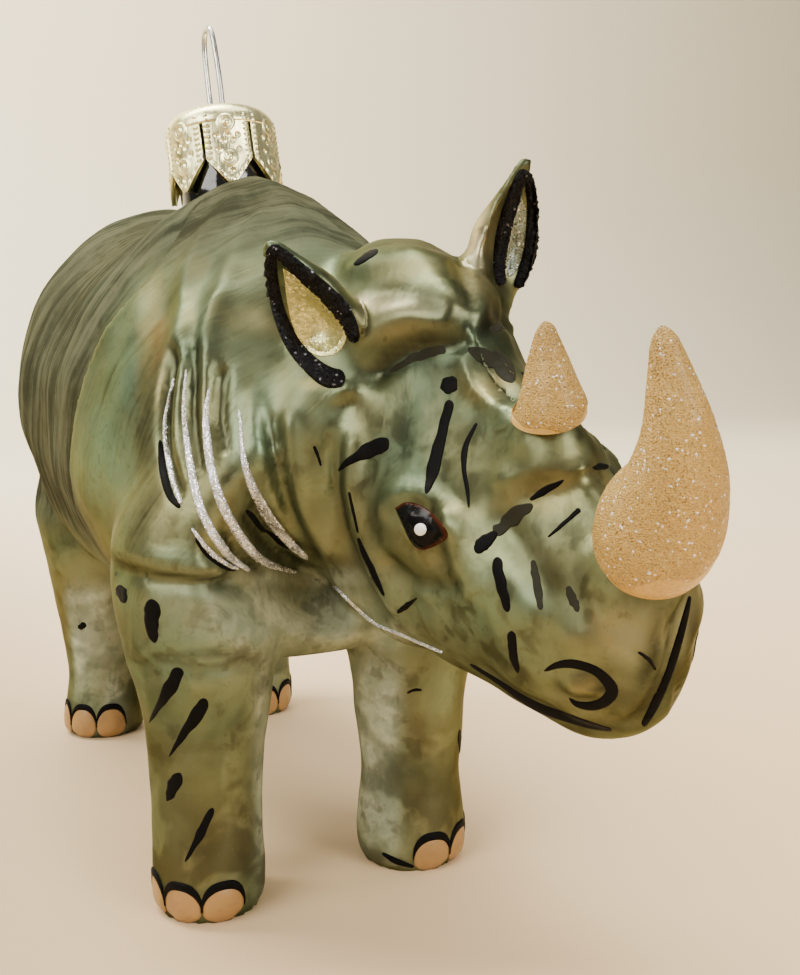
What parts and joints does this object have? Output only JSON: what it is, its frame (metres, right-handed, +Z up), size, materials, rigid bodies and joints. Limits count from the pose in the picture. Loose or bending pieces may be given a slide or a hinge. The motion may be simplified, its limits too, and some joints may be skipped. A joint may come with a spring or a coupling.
{
  "type": "glass rhinoceros ornament",
  "caption": "Blown-glass hanging ornament shaped as a standing rhinoceros, with a petal-edged metal cap and a wire hanging loop on its back.",
  "frame": {"origin": "centre of the outline on the floor under the soles", "axes": "+Z up, nose towards -Y, the animal's left side towards +X"},
  "size_m": [0.0426, 0.1234, 0.0907],
  "materials": {
    "hide": "silvered glass under olive, gold and sea-green pearly lacquer, brushed with dark grey",
    "ear": "gold lacquer with black glitter rims",
    "horn_glitter": "peach lacquer under fine clear glitter",
    "eye": "glossy black enamel",
    "neck_black": "glossy black lacquer",
    "paint_black": "glossy black brush strokes",
    "toe_paint": "peach satin paint",
    "glitter_silver": "fine silver glitter in clear glue",
    "cap_metal": "pressed sheet, embossed with dots",
    "wire": "drawn steel wire"
  },
  "bodies": {
    "root": {"torso": "hide", "neck": "hide", "head": "hide", "leg_front_left": "hide", "leg_front_right": "hide", "leg_hind_left": "hide", "leg_hind_right": "hide", "tail": "hide", "horn_front": "horn_glitter", "horn_rear": "horn_glitter", "ear_right": "ear", "ear_left": "ear", "eye_right": "eye", "eye_left": "eye", "glass_neck": "neck_black", "cap": "cap_metal", "hanging_loop": "wire"}
  },
  "joints": []
}
